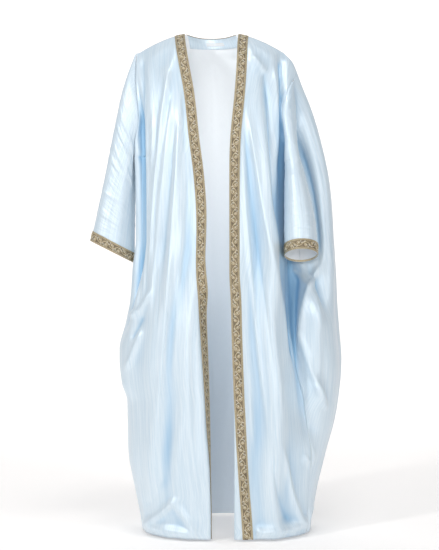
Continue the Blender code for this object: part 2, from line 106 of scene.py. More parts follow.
soft_light("key_light", (-0.4, -3.8, 0.1), (0, 0, -0.8), 0.9, 1.2, 29)
soft_light("side_light", (-2.6, -2.6, 0.9), (0.1, 0, -0.7), 0.30, 0.30, 43)
soft_light("right_strip", (2.1, -1.9, -0.2), (0, 0, -0.7), 0.16, 2.6, 12)
soft_light("top_light", (0.2, -0.9, 2.0), (0, 0, -0.5), 0.8, 0.5, 17)
soft_light("backdrop_light", (0, 2.8, 3.6), (0, 7.2, -0.4), 4.5, 1.2, 190)
soft_light("inner_light", (0.010, -0.09, -0.44), (0.012, 0.2, -0.42), 0.06, 0.76, 0.42)
soft_light("inner_low_light", (0.020, -0.12, -1.05), (0.022, 0.2, -1.05), 0.03, 0.70, 0.13)


# Satin: a glossy weave of pale ice blue outside, its matte reverse inside, cut into all
# the panels. Fine warp streaks run down the cloth, partly its own tone and partly painted
# sheen; shade is painted into its colour as a deeper blue where the folds sink, and the
# sleeves are creased across.
# Crest: the cloth's own tone and a lighter one for its streaks, partly painted sheen; below, the
# blue of the painted shade in the folds.
SATIN_CREST, SATIN_CREST_LIGHT = (0.61, 0.73, 0.82, 1), (0.74, 0.83, 0.89, 1)
SATIN_PAINTED_SHADE = (0.27, 0.49, 0.70, 1)
PANEL_CREASES, SLEEVE_CREASES = (48, 9), (22, 150)


class Flow:
    """A socket with the operators of plain arithmetic."""

    tree = None

    def __init__(self, socket):
        self.socket = socket

    @classmethod
    def node(cls, kind, settings=None, **sockets):
        """Add a node; settings first, then its inputs by name or number."""
        made = cls.tree.nodes.new(kind)
        for key, value in (settings or {}).items():
            setattr(made, key, value)
        for key, value in sockets.items():
            key = key.replace("_", " ")
            target = made.inputs[int(key[1:])] if key[0] == "n" and key[1:].isdigit() \
                else made.inputs[key]
            if isinstance(value, Flow):
                cls.tree.links.new(value.socket, target)
            else:
                target.default_value = value
        return made

    def maths(self, operation, *others, backwards=False):
        """A Math node on this socket and other values."""
        values = [self, *others]
        if backwards:
            values.reverse()
        inputs = {f"n{index}": value for index, value in enumerate(values)}
        return Flow(Flow.node("ShaderNodeMath", {"operation": operation}, **inputs).outputs[0])

    def __add__(self, other):
        return self.maths("ADD", other)

    __radd__ = __add__

    def __sub__(self, other):
        return self.maths("SUBTRACT", other)

    def __rsub__(self, other):
        return self.maths("SUBTRACT", other, backwards=True)

    def __mul__(self, other):
        return self.maths("MULTIPLY", other)

    __rmul__ = __mul__

    def __truediv__(self, other):
        return self.maths("DIVIDE", other)

    def __rtruediv__(self, other):
        return self.maths("DIVIDE", other, backwards=True)

    def between(self, low, high):
        """0 below low, 1 above high and a smooth step between them."""
        made = Flow.node("ShaderNodeMapRange", {"interpolation_type": "SMOOTHSTEP"},
                         Value=self, From_Min=low, From_Max=high)
        return Flow(made.outputs[0])


def blended(amount, first, second):
    """A colour between two others."""
    made = Flow.node("ShaderNodeMix", {"data_type": "RGBA"}, n0=amount, n6=first, n7=second)
    return Flow(made.outputs[2])


def noise(place, scale, detail=2.0, roughness=0.5):
    """Soft irregular grain, from 0 to 1."""
    made = Flow.node("ShaderNodeTexNoise", None, Vector=place, Scale=scale, Detail=detail,
                     Roughness=roughness)
    return Flow(made.outputs["Fac"])


def stretched(place, across, down):
    """Coordinates scaled differently across and down the cloth."""
    made = Flow.node("ShaderNodeMapping", None, Vector=place, Scale=(across, down, 1.0))
    return Flow(made.outputs[0])


def new_material(name):
    """A material and its shader; the nodes that follow are added to it."""
    made = bpy.data.materials.new(name)
    made.use_nodes = True
    Flow.tree = made.node_tree
    return made, made.node_tree.nodes["Principled BSDF"]


def connect(flow, shader, name):
    """Lead a pattern to one of the shader's sockets."""
    Flow.tree.links.new(flow.socket, shader.inputs[name])


def bumped(height, strength, distance):
    """Fine relief from a pattern of heights."""
    return Flow(Flow.node("ShaderNodeBump", None, Height=height, Strength=strength,
                          Distance=distance).outputs[0])


def satin_cloth(name, crease_counts):
    """The satin's face, with so many fine creases to the metre across and down the cloth."""
    made, shader = new_material(name)
    cloth_map = Flow(Flow.node("ShaderNodeUVMap", {"uv_map": "cut"}).outputs[0])
    warp = noise(stretched(cloth_map, 900, 14), 1.0, 3.0, 0.6)
    slub = noise(stretched(cloth_map, 170, 5), 1.0, 3.0, 0.6)
    cloud = noise(stretched(cloth_map, 9, 3), 1.0, 2.0)
    crinkle = noise(stretched(cloth_map, *crease_counts), 1.0, 3.0, 0.55)
    # Painted shade: the colour turns a deeper blue where the cloth sinks behind the cloth around
    # it, softly mottled.
    painted_shade = Flow(Flow.node("ShaderNodeAttribute", {"attribute_name": "painted_shade"}).outputs["Fac"])
    shade = (painted_shade + (cloud - 0.5) * 0.35).between(0.05, 1.0)
    # Warp and slub streaks of lighter tone down the cloth: partly the weave's own, partly painted
    # sheen.
    crest = blended((warp * 0.5 + slub * 0.5).between(0.35, 0.65), SATIN_CREST,
                    SATIN_CREST_LIGHT)
    connect(blended(shade, crest, SATIN_PAINTED_SHADE), shader, "Base Color")
    connect(0.33 + warp * 0.10 + slub * 0.05, shader, "Roughness")
    connect(bumped(warp * 0.2 + slub * 0.4 + crinkle * 1.3, 0.8, 0.0014), shader, "Normal")
    shader.inputs["Metallic"].default_value = 0.18
    shader.inputs["Specular IOR Level"].default_value = 0.75
    shader.inputs["Sheen Weight"].default_value = 0.25
    shader.inputs["Sheen Roughness"].default_value = 0.4
    return made


satin = satin_cloth("ice_blue_satin_face", PANEL_CREASES)
sleeve_satin = satin_cloth("ice_blue_satin_sleeve", SLEEVE_CREASES)

reverse, reverse_shader = new_material("satin_reverse")
cloth_map = Flow(Flow.node("ShaderNodeUVMap", {"uv_map": "cut"}).outputs[0])
weave = noise(stretched(cloth_map, 800, 60), 1.0, 2.0, 0.6)
# Painted shade: the reverse grows darker and bluer down the cut towards the hem, for the dim
# inside of the robe.
down_the_cut = Flow(Flow.node("ShaderNodeSeparateXYZ", None, Vector=cloth_map).outputs["Y"])
pale = blended(weave, (0.86, 0.88, 0.90, 1), (0.93, 0.95, 0.96, 1))
blue = blended(weave, (0.74, 0.82, 0.90, 1), (0.82, 0.89, 0.95, 1))
connect(blended(down_the_cut.between(-0.2, -1.1), pale, blue), reverse_shader, "Base Color")
connect(bumped(weave, 0.3, 0.0004), reverse_shader, "Normal")
reverse_shader.inputs["Roughness"].default_value = 0.7
reverse_shader.inputs["Specular IOR Level"].default_value = 0.3

# The robe's form: level sections, by their drop below the shoulder seam. left and right
# are the oval's ends, front and back its depth; turn rolls the left edge inwards. The
# panels are parts of these ovals, between bearings that the seams follow.
NECK_HALF_WIDTH, NECK_DEPTH, NECK_BLEND = 0.079, 0.080, 0.06
SHOULDER_DROP, SHOULDER_RUN, ARMHOLE_DEPTH = 0.050, 0.135, 0.36
SLIT_TOP, SLIT_SPREAD, ARMHOLE_FRONT = 0.09, 7.2, 0.60
TURNED_STRIP, ROLL_LENGTH, SQUARENESS = 0.048, 0.020, 2.5
ROBE_LENGTH, BAND_WIDTH, BAND_STEPS, CLOTH = 1.45, 0.030, 8, 0.0008
SECTION_COLUMNS = ("drop", "left", "right", "front", "back", "left_edge", "right_edge",
                   "turn", "left_seam", "right_seam", "inset")
SECTIONS = (
    (0.000, -0.2205, 0.2146, 0.001, 0.010, -0.079, 0.079, 0, -90, 90, 0.000),
    (0.026, -0.2230, 0.2380, 0.040, 0.060, -0.076, 0.076, 0, -90, 90, 0.000),
    (0.064, -0.2250, 0.2530, 0.068, 0.095, -0.070, 0.074, 0, -90, 74, 0.000),
    (0.104, -0.2260, 0.2650, 0.088, 0.112, -0.063, 0.072, 0, -90, 58, 0.000),
    (0.187, -0.2240, 0.2916, 0.112, 0.130, -0.048, 0.066, 0, -90, 46, 0.000),
    (0.313, -0.2180, 0.3240, 0.130, 0.140, -0.034, 0.054, 0, -90, 41, 0.000),
    (0.426, -0.2130, 0.3480, 0.140, 0.145, -0.020, 0.051, 0, -92, 36, 0.000),
    (0.600, -0.2120, 0.3600, 0.152, 0.152, -0.010, 0.051, 0, -95, 33, 0.000),
    (0.700, -0.2260, 0.3630, 0.158, 0.156, -0.010, 0.051, 8, -95, 33, 0.000),
    (0.780, -0.2385, 0.3635, 0.162, 0.160, -0.010, 0.055, 32, -95, 34, 0.000),
    (0.860, -0.2540, 0.3680, 0.166, 0.164, -0.010, 0.057, 45, -95, 35, 0.000),
    (0.960, -0.2590, 0.3745, 0.171, 0.170, -0.010, 0.060, 57, -95, 37, 0.000),
    (1.040, -0.2510, 0.3700, 0.175, 0.174, -0.010, 0.063, 66, -95, 41, 0.000),
    (1.136, -0.2470, 0.3560, 0.179, 0.180, -0.011, 0.065, 76, -95, 46, 0.003),
    (1.240, -0.2430, 0.3270, 0.184, 0.186, -0.012, 0.065, 90, -95, 54, 0.009),
    (1.330, -0.2250, 0.3060, 0.187, 0.190, -0.013, 0.065, 96, -95, 59, 0.015),
    (1.400, -0.2100, 0.2980, 0.189, 0.192, -0.013, 0.065, 98, -95, 61, 0.020),
    (1.450, -0.2020, 0.2930, 0.190, 0.193, -0.013, 0.065, 98, -95, 62, 0.023),
)
# Large folds: upper and lower drop, three bearings, half width in degrees and height.
FOLDS = (
    (0.05, 0.82, -80, -82, -84, 7, 0.013),
    (0.06, 0.92, -69, -70, -72, 5, -0.016),
    (0.08, 0.95, -58, -59, -62, 6, 0.008),
    (0.12, 1.45, -30, -36, -48, 7, 0.012),
    (0.15, 1.45, -24, -30, -36, 5, -0.008),
    (0.20, 1.45, -18, -24, -27, 5, 0.008),
    (0.84, 1.08, -80, -76, -72, 16, 0.014),
    (0.08, 1.50, 6, 3, 14, 4, 0.007),
    (0.08, 1.60, 24, 21, 36, 6, 0.026),
    (0.12, 1.60, 15, 12, 24, 5, -0.007),
    (0.03, 0.80, 66, 47, 38, 9, -0.030),
    (0.14, 1.24, 46, 37, 50, 11, -0.080),
    (0.22, 0.86, 58, 54, 58, 10, -0.055),
    (0.66, 1.16, 56, 45, 54, 7, 0.046),
    (0.25, 1.55, 176, 180, 180, 7, 0.016),
    (0.22, 1.55, 162, 160, 161, 7, -0.012),
    (0.20, 1.55, 148, 142, 143, 8, 0.016),
    (0.30, 1.55, 130, 122, 124, 9, -0.014),
    (0.22, 1.55, 198, 199, 198, 7, -0.012),
    (0.20, 1.55, 212, 217, 215, 8, 0.016),
    (0.30, 1.55, 230, 237, 234, 8, -0.013),
    (0.40, 1.55, 106, 100, 103, 9, 0.014),
)
ring_steps = 900
drops = np.concatenate((np.linspace(0, SLIT_TOP, 24)[:-1],
                        np.linspace(SLIT_TOP, ARMHOLE_DEPTH, 49)[:-1],
                        np.linspace(ARMHOLE_DEPTH, ROBE_LENGTH, 170)))
underarm = int(np.argmin(np.abs(drops - ARMHOLE_DEPTH)))


def eased(value):
    """A smooth step from 0 to 1."""
    value = np.clip(value, 0.0, 1.0)
    return value * value * (3.0 - 2.0 * value)


def section_value(name, drop):
    """A column of the section table, read between its rows on a smooth curve."""
    table = np.array(SECTIONS, dtype=float)
    levels, values = table[:, 0], table[:, SECTION_COLUMNS.index(name)]
    slopes = np.diff(values) / np.diff(levels)
    tangents = np.concatenate(([slopes[0]], (slopes[1:] + slopes[:-1]) / 2, [slopes[-1]]))
    tangents[1:-1][slopes[1:] * slopes[:-1] <= 0] = 0.0
    row = int(np.clip(np.searchsorted(levels, drop) - 1, 0, len(levels) - 2))
    step = levels[row + 1] - levels[row]
    t = (drop - levels[row]) / step
    return ((1 + 2 * t) * (1 - t) ** 2 * values[row] + t * (1 - t) ** 2 * step * tangents[row]
            + t * t * (3 - 2 * t) * values[row + 1] - t * t * (1 - t) * step * tangents[row + 1])


def fold_lift(bearings, drop):
    """How far the large folds stand off the oval at one level."""
    lift = np.zeros_like(bearings)
    for upper, lower, first, middle, last, spread, height in FOLDS:
        along = (drop - upper) / (lower - upper)
        if not 0.0 < along < 1.0:
            continue
        line = first * (1 - along) ** 2 + last * along ** 2
        line += (2 * middle - (first + last) / 2) * 2 * along * (1 - along)
        fade = eased(along / 0.35) * eased((1 - along) / 0.25)
        turn = (bearings - line + 180) % 360 - 180
        lift += height * fade * np.exp(-(turn / spread) ** 2)
    return lift


def oval(drop, bearings):
    """Points of one level's oval, closing to the neckline and the shoulder seam on top."""
    left, right = section_value("left", drop), section_value("right", drop)
    sine, cosine = np.sin(np.radians(bearings)), np.cos(np.radians(bearings))
    reach = (np.abs(sine) ** SQUARENESS + np.abs(cosine) ** SQUARENESS) ** (-1 / SQUARENESS)
    x = (left + right) / 2 + (right - left) / 2 * sine * reach
    depth = np.where(cosine > 0, section_value("front", drop), section_value("back", drop))
    y = -depth * cosine * reach
    neckline = NECK_DEPTH * np.clip(1 - np.abs(x / NECK_HALF_WIDTH) ** 2.4, 0, 1)
    blend = eased(drop / NECK_BLEND)
    y = np.where(cosine < 0, neckline * (1 - blend) + y * blend, y)
    parting = 0.00015 * (1 - eased(drop / 0.03))
    return x, y - parting * np.where(np.abs(bearings) <= 90.005, 1, -1)


def height_at(x, drop):
    """The level's height, which slopes with the shoulders near the top."""
    run = np.clip((np.abs(x) - NECK_HALF_WIDTH) / SHOULDER_RUN, 0, 1)
    slope = 0.005 - (SHOULDER_DROP + 0.005) * run ** 1.5
    return -drop + slope * (1 - eased(drop / ARMHOLE_DEPTH))


def bearing_at(x_wanted, drop):
    """The bearing at which the front of the oval has a given x."""
    bearings = np.linspace(-90, 90, ring_steps)
    return float(np.interp(x_wanted, oval(drop, bearings)[0], bearings))


def armhole_spread(drop):
    """How many degrees the left armhole stands open."""
    if drop >= ARMHOLE_DEPTH:
        return 0.0
    return 30 * math.sin(math.pi * min(1.0, drop / ARMHOLE_DEPTH)) ** 0.5


def slit_spread(drop):
    """How many degrees each side of the right armhole's slit stands open."""
    if drop >= ARMHOLE_DEPTH or drop <= SLIT_TOP:
        return 0.0
    along = (drop - SLIT_TOP) / (ARMHOLE_DEPTH - SLIT_TOP)
    return SLIT_SPREAD * math.sin(math.pi * along) ** 0.8


def folded(bearings, drop):
    """One level of a panel, with its large folds."""
    x, y = oval(drop, bearings)
    tangent = np.stack([np.gradient(x), np.gradient(y)], axis=1)
    tangent /= np.maximum(np.linalg.norm(tangent, axis=1, keepdims=True), 1e-9)
    lift = fold_lift(bearings, drop) * eased(drop / 0.12) * np.sign(bearings[-1] - bearings[0])
    x = x + tangent[:, 1] * lift
    y = y - tangent[:, 0] * lift
    return np.stack([x, y, height_at(x, drop)], axis=1)


def front_left_curve(drop):
    """One level of the left front, from its rolled edge strip to the side seam."""
    turn = section_value("turn", drop)
    shift = TURNED_STRIP * (1 - math.cos(math.radians(max(turn - 6, 0))))
    start = bearing_at(section_value("left_edge", drop) - TURNED_STRIP + shift, drop)
    end = section_value("left_seam", drop) + armhole_spread(drop) * ARMHOLE_FRONT
    body = folded(np.linspace(start, end, ring_steps), drop)
    heading = body[0] - body[4]
    angle = math.atan2(heading[1], heading[0])
    steps = np.linspace(0, TURNED_STRIP, 49)
    headings = angle + math.radians(turn) * eased(steps / ROLL_LENGTH)
    x = body[0][0] + np.concatenate(([0], np.cumsum(np.cos(headings[1:]) * steps[1])))
    y = body[0][1] + np.concatenate(([0], np.cumsum(np.sin(headings[1:]) * steps[1])))
    strip = np.stack([x, y, height_at(x, drop)], axis=1)
    return np.concatenate([strip[:0:-1], body])


def front_right_curve(drop):
    """One level of the right front, from its edge to the side seam."""
    start = bearing_at(section_value("right_edge", drop), drop)
    end = section_value("right_seam", drop) - slit_spread(drop)
    return folded(np.linspace(start, end, ring_steps), drop)


def back_bearings(drop):
    """The bearings of the back's two side seams."""
    start = section_value("right_seam", drop) + max(slit_spread(drop), 0.01)
    return start, 360 + section_value("left_seam", drop) - armhole_spread(drop)


def back_curve(drop):
    start, end = back_bearings(drop)
    return folded(np.linspace(start, end, 2 * ring_steps), drop)


def arc_of(curve):
    """The length along a curve at each of its points."""
    return np.concatenate(([0], np.cumsum(np.linalg.norm(np.diff(curve, axis=0), axis=1))))


def surface_normals(grid):
    """Directions square to a grid of points."""
    normals = np.cross(np.gradient(grid, axis=1), np.gradient(grid, axis=0))
    return normals / np.maximum(np.linalg.norm(normals, axis=2, keepdims=True), 1e-12)


def picked(values, position):
    """Points at fractional places in a list of points."""
    index = np.arange(len(values))
    return np.stack([np.interp(position, index, values[:, axis]) for axis in range(3)], axis=1)


def seam_margin(drop):
    """The gap that a panel keeps from its seam, a little wider below the armhole."""
    underarm_ease = 0.0005 * math.exp(-((drop - ARMHOLE_DEPTH - 0.03) / 0.04) ** 2)
    return 0.0002 + underarm_ease


# Creases listed one by one on what the front shows: three points (x, z) that the line passes
# through, its half width and its height, in metres. A trough has a negative height. They
# run down both fronts, the back's loose fold, the left side and the two hems.
CREASES = (
    (-0.135, -0.090, -0.118, -0.175, -0.106, -0.290, 0.018, 0.006),
    (-0.171, -0.233, -0.173, -0.330, -0.182, -0.432, 0.008, 0.003),
    (-0.105, -0.050, -0.152, -0.330, -0.186, -0.760, 0.007, 0.006),
    (-0.108, -0.110, -0.138, -0.400, -0.172, -0.820, 0.008, -0.004),
    (-0.113, -0.180, -0.143, -0.460, -0.185, -0.920, 0.009, 0.007),
    (-0.088, -0.150, -0.111, -0.580, -0.170, -1.308, 0.009, 0.007),
    (-0.083, -0.300, -0.100, -0.640, -0.140, -1.250, 0.010, 0.001),
    (-0.077, -0.525, -0.094, -0.764, -0.110, -1.212, 0.010, 0.003),
    (-0.066, -0.812, -0.060, -1.060, -0.032, -1.430, 0.010, 0.003),
    (-0.157, -0.250, -0.160, -0.480, -0.170, -0.800, 0.007, -0.002),
    (-0.104, -0.240, -0.128, -0.560, -0.172, -1.000, 0.007, -0.002),
    (-0.248, -0.824, -0.204, -0.803, -0.172, -0.740, 0.008, 0.009),
    (-0.235, -0.900, -0.215, -0.860, -0.190, -0.815, 0.010, -0.007),
    (-0.252, -0.990, -0.222, -0.925, -0.198, -0.850, 0.009, 0.009),
    (-0.200, -1.432, -0.145, -1.385, -0.085, -1.325, 0.009, 0.011),
    (-0.120, -1.330, -0.066, -1.400, -0.025, -1.455, 0.009, 0.009),
    (-0.200, -1.375, -0.160, -1.340, -0.120, -1.260, 0.013, -0.003),
    (-0.208, -1.427, -0.115, -1.430, -0.030, -1.440, 0.013, 0.013),
    (0.080, -1.434, 0.180, -1.428, 0.290, -1.415, 0.013, 0.013),
    (0.198, -1.160, 0.234, -1.346, 0.288, -1.450, 0.009, 0.011),
    (0.165, -1.160, 0.196, -1.330, 0.235, -1.425, 0.014, -0.009),
    (0.110, -0.063, 0.138, -0.094, 0.161, -0.128, 0.010, 0.005),
    (0.096, -0.196, 0.158, -0.560, 0.258, -1.195, 0.012, 0.011),
    (0.150, -0.090, 0.174, -0.330, 0.198, -0.640, 0.012, -0.015),
    (0.181, -0.085, 0.193, -0.230, 0.200, -0.400, 0.007, 0.006),
    (0.087, -0.219, 0.103, -0.600, 0.175, -1.252, 0.008, 0.007),
    (0.090, -0.698, 0.096, -0.920, 0.129, -1.297, 0.009, 0.003),
    (0.092, -0.230, 0.127, -0.600, 0.215, -1.240, 0.009, -0.004),
    (0.202, -0.050, 0.205, -0.200, 0.204, -0.600, 0.010, -0.015),
    (-0.206, 0.080, -0.204, -0.400, -0.214, -0.930, 0.013, -0.010),
    (0.335, -0.660, 0.270, -0.785, 0.257, -0.960, 0.008, 0.013),
    (0.257, -0.860, 0.288, -0.978, 0.338, -1.090, 0.008, 0.009),
    (0.256, -0.670, 0.237, -0.800, 0.236, -0.990, 0.014, -0.015),
    (0.238, -0.685, 0.260, -0.715, 0.290, -0.750, 0.007, 0.007),
    (0.240, -0.270, 0.298, -0.490, 0.313, -0.700, 0.010, -0.012),
    (-0.186, -0.200, -0.184, -0.480, -0.196, -0.900, 0.012, -0.006),
    (0.295, -1.013, 0.315, -1.058, 0.337, -1.104, 0.009, 0.008),
    (0.262, -1.215, 0.284, -1.240, 0.292, -1.195, 0.010, 0.007),
    (0.268, -1.420, 0.285, -1.395, 0.305, -1.380, 0.010, 0.006),
)


def crease_lift(points):
    """Height of the hand-set creases at each point of a grid, on its front half alone."""
    flat = points.reshape(-1, 3)
    lift = np.zeros(len(flat))
    facing = eased((-flat[:, 1] + 0.02) / 0.05)
    for x0, z0, x1, z1, x2, z2, width, height in CREASES:
        t = np.linspace(0, 1, 26)
        middle = np.array((2 * x1 - (x0 + x2) / 2, 2 * z1 - (z0 + z2) / 2))
        line = (np.outer((1 - t) ** 2, (x0, z0)) + np.outer(2 * t * (1 - t), middle)
                + np.outer(t ** 2, (x2, z2)))
        best = np.full(len(flat), 9.0)
        where = np.zeros(len(flat))
        for step in range(len(t) - 1):
            start, run = line[step], line[step + 1] - line[step]
            offset = flat[:, (0, 2)] - start
            share = np.clip(offset @ run / (run @ run), 0, 1)
            away = np.linalg.norm(offset - share[:, None] * run, axis=1)
            nearer = away < best
            best = np.where(nearer, away, best)
            where = np.where(nearer, (step + share) / (len(t) - 1), where)
        fade = eased(where / 0.25) * eased((1 - where) / 0.25)
        lift += height * fade * np.exp(-(best / width) ** 1.6)
    return (lift * facing).reshape(points.shape[:2])


def soft_waves(points, seed, height, across, down):
    """Gentle unevenness of hanging cloth, from a few seeded waves."""
    dice = np.random.default_rng(seed)
    total = np.zeros(points.shape[:2])
    around = np.arctan2(points[:, :, 0], -points[:, :, 1])
    for _ in range(9):
        rise = dice.uniform(0.4, 1.0) / down
        turns = dice.uniform(0.5, 1.0) * across * dice.choice((-1, 1))
        total += np.sin(points[:, :, 2] * rise + around * turns + dice.uniform(0, 6.3))
    return total / 3 * height


def blurred(points, reach, axis):
    """Each point's mean with the points around it along one direction of the grid."""
    weights = np.exp(-(np.arange(-2 * reach, 2 * reach + 1) / reach) ** 2)
    weights /= weights.sum()
    ends = [(0, 0)] * 3
    ends[axis] = (2 * reach, 2 * reach)
    padded = np.pad(points, ends, mode="edge")
    return np.apply_along_axis(np.convolve, axis, padded, weights, "valid")


# Painted shade: a level amount everywhere, growing where the cloth lies behind the cloth near it
# and further round.
LEVEL_SHADE, NEAR_DEPTH, WIDE_DEPTH = 0.22, 0.013, 0.040


def painted_fold_shade(points, normals):
    """How far each point lies behind the cloth around it, from 0 to 1: the amount of shade
    painted into the satin's colour.
    """
    near = ((blurred(blurred(points, 6, 1), 3, 0) - points) * normals).sum(axis=2)
    wide = ((blurred(blurred(points, 20, 1), 6, 0) - points) * normals).sum(axis=2)
    return np.clip(LEVEL_SHADE + near / NEAR_DEPTH + wide / WIDE_DEPTH, 0, 1)


def creased(points, side, waves, top, hold):
    """A panel's grid with its creases and soft waves, and its outward directions."""
    lift = (crease_lift(points) + soft_waves(points, *waves)) * eased(drops / top)[:, None]
    points = points + side * surface_normals(points) * (lift * hold)[:, :, None]
    return points, side * surface_normals(points)


def cloth_piece(name, points, face, lining, closed=False, thickness=CLOTH,
                painted_shades=None):
    """A thin shell of cloth whose grid lies on its outer face."""
    rows, columns = points.shape[0] - 1, points.shape[1] - 1
    mesh = bmesh.new()
    cut = mesh.loops.layers.uv.new("cut")
    painted_shade_layer = mesh.verts.layers.float.new("painted_shade")
    bmesh.ops.create_grid(mesh, x_segments=columns, y_segments=rows, size=0.5)
    grid_row = mesh.verts.layers.int.new("grid_row")
    grid_column = mesh.verts.layers.int.new("grid_column")
    for vertex in mesh.verts:
        vertex[grid_row] = round((0.5 - vertex.co.y) * rows)
        vertex[grid_column] = round((vertex.co.x + 0.5) * columns)
    across = np.concatenate((np.zeros((rows + 1, 1)), np.cumsum(
        np.linalg.norm(np.diff(points, axis=1), axis=2), axis=1)), axis=1)
    across = across - across[:, columns // 2:columns // 2 + 1]
    down = np.concatenate(([0], np.cumsum(np.linalg.norm(
        np.diff(points[:, columns // 2], axis=0), axis=1))))
    for corner_face in mesh.faces:
        for loop in corner_face.loops:
            row, column = loop.vert[grid_row], loop.vert[grid_column]
            loop[cut].uv = (across[row, column], -down[row])
    for vertex in mesh.verts:
        row, column = vertex[grid_row], vertex[grid_column]
        vertex.co = Vector(points[row, column])
        # Each vertex carries its amount of painted shade for the satin's colour.
        vertex[painted_shade_layer] = 0.4 if painted_shades is None else painted_shades[row, column]
    if closed:
        first = {vertex[grid_row]: vertex for vertex in mesh.verts if vertex[grid_column] == 0}
        last = [vertex for vertex in mesh.verts if vertex[grid_column] == columns]
        bmesh.ops.weld_verts(mesh, targetmap={vertex: first[vertex[grid_row]] for vertex in last})
    data = bpy.data.meshes.new(name)
    mesh.to_mesh(data)
    mesh.free()
    data.shade_smooth()
    data.materials.append(face)
    data.materials.append(lining)
    made = bpy.data.objects.new(name, data)
    bpy.context.collection.objects.link(made)
    shell = made.modifiers.new("cloth", "SOLIDIFY")
    shell.thickness = thickness
    shell.offset = -1
    shell.use_even_offset = False
    shell.material_offset = 1
    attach(made, "root")
    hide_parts(name.replace("_cloth", ""))
    return made


def front_positions(curve, drop, inset):
    """Places of a front's columns: two for the inset edge, if any, the band and the rest."""
    arc = arc_of(curve)
    edge = [0.0] if inset is None else [0.0, (0.0006 + inset) / 2, 0.0006 + inset]
    set_stops = edge + [edge[-1] + BAND_WIDTH * step / BAND_STEPS
                        for step in range(1, BAND_STEPS + 1)]
    rest = np.linspace(set_stops[-1], arc[-1] - seam_margin(drop), 105)
    return np.interp(np.concatenate((set_stops[:-1], rest)), arc, np.arange(len(arc)))


# Left front: one length of satin from the shoulder to the hem, sewn at the shoulder and
# the side; its front edge carries the band and rolls inwards from the waist down. Shade is
# painted along a valley beside the sleeve, so many columns of the grid from the seam.
VALLEY_COLUMN, VALLEY_SPREAD, VALLEY_SHADE = 16, 14, 0.2
VALLEY_TOP, VALLEY_FOOT = 0.06, 0.82
left_curves = [front_left_curve(drop) for drop in drops]
left = np.array([picked(curve, front_positions(curve, drop, None))
                 for curve, drop in zip(left_curves, drops)])
edge_hold = eased((np.arange(left.shape[1]) - BAND_STEPS - 1) / 8)
to_seam = left.shape[1] - 1 - np.arange(left.shape[1])
near_underarm = np.exp(-((drops - ARMHOLE_DEPTH) / 0.03) ** 2)[:, None]
seam_hold = eased(to_seam / (6 + 16 * near_underarm))
left, left_out = creased(left, 1, (3, 0.0007, 26, 0.05), 0.05, edge_hold * seam_hold)
# Painted shade along the valley beside the sleeve, added to the shade of the folds.
painted_valley_shade = (eased(1 - np.abs(to_seam - VALLEY_COLUMN) / VALLEY_SPREAD)[None, :]
               * (eased((drops - VALLEY_TOP) / 0.15)
                  * eased((VALLEY_FOOT - drops) / 0.12))[:, None])
left_shade = np.clip(painted_fold_shade(left, left_out) + VALLEY_SHADE * painted_valley_shade, 0, 1)
front_left = cloth_piece("front_left_cloth", left[:, ::-1], satin, reverse,
                         painted_shades=left_shade[:, ::-1])

# Right front: the mirror of the left one in its cut; it hangs open and flat to the hem.
# Shade is painted into the cloth where it passes behind the right sleeve; the painted shade
# starts at a column of the grid that moves towards the band on the way down.
SHADOW_COLUMN, SHADOW_LEAN, SHADOW_SHADE = 95, 33, 0.6
SHADOW_TOP, SHADOW_FOOT = 0.12, 0.95
right_curves = [front_right_curve(drop) for drop in drops]
right = np.array([picked(curve, front_positions(curve, drop, section_value("inset", drop)))
                  for curve, drop in zip(right_curves, drops)])
seam_hold = eased((right.shape[1] - 1 - np.arange(right.shape[1])) / 6)
edge_hold = eased((np.arange(right.shape[1]) - BAND_STEPS - 4) / 8)
right, right_out = creased(right, -1, (5, 0.0007, 26, 0.05), 0.05, edge_hold * seam_hold)
# Painted shadow behind the right sleeve, added to the shade of the folds.
sleeve_shadow = SHADOW_COLUMN - SHADOW_LEAN * eased((drops - SHADOW_TOP) / 0.38)
painted_sleeve_shadow = (eased((np.arange(right.shape[1]) - sleeve_shadow[:, None]) / 16)
                 * (eased((drops - SHADOW_TOP) / 0.2)
                    * eased((SHADOW_FOOT - drops) / 0.3))[:, None])
right_shade = np.clip(painted_fold_shade(right, right_out) + SHADOW_SHADE * painted_sleeve_shadow, 0, 1)
front_right = cloth_piece("front_right_cloth", right, satin, reverse,
                          painted_shades=right_shade)

# Back: one wide panel of satin from the shoulders to the hem, sewn to the fronts at the
# shoulders and sides, and full enough to wrap round to the front beside the right sleeve.
SIDE_STEPS, BLADE_STEPS, NECK_STEPS = 70, 35, 48
NECK_START, NECK_END = 158.7, 199.7
back_curves = [back_curve(drop) for drop in drops]
back_rows = []
for curve, drop in zip(back_curves, drops):
    start, end = back_bearings(drop)
    side = 90 + 35 * (1 - eased(drop / 0.3))
    stops = np.concatenate((np.linspace(start, side, SIDE_STEPS + 1)[:-1],
                            np.linspace(side, NECK_START, BLADE_STEPS + 1)[:-1],
                            np.linspace(NECK_START, NECK_END, NECK_STEPS + 1)[:-1],
                            np.linspace(NECK_END, end, 46)))
    arc = arc_of(curve)
    index = np.arange(len(arc))
    margin = seam_margin(drop)
    along = np.interp((stops - start) / (end - start) * index[-1], index, arc)
    back_rows.append(picked(curve, np.interp(margin + along * (1 - 2 * margin / arc[-1]),
                                             arc, index)))
back = np.array(back_rows)
ends = np.minimum(np.arange(back.shape[1]), back.shape[1] - 1 - np.arange(back.shape[1]))
back, back_out = creased(back, -1, (8, 0.0009, 22, 0.06), 0.08, eased(ends / 6))
back_panel = cloth_piece("back_cloth", back, satin, reverse,
                         painted_shades=painted_fold_shade(back, back_out))

# Left sleeve: a wide tube of the same satin, set into the armhole and crinkled across
# where it hangs; it ends in a gold cuff. Each rail of the tube is a smooth curve from the
# armhole to the cuff's ring.
ARMHOLE_LIFT = 0.0004


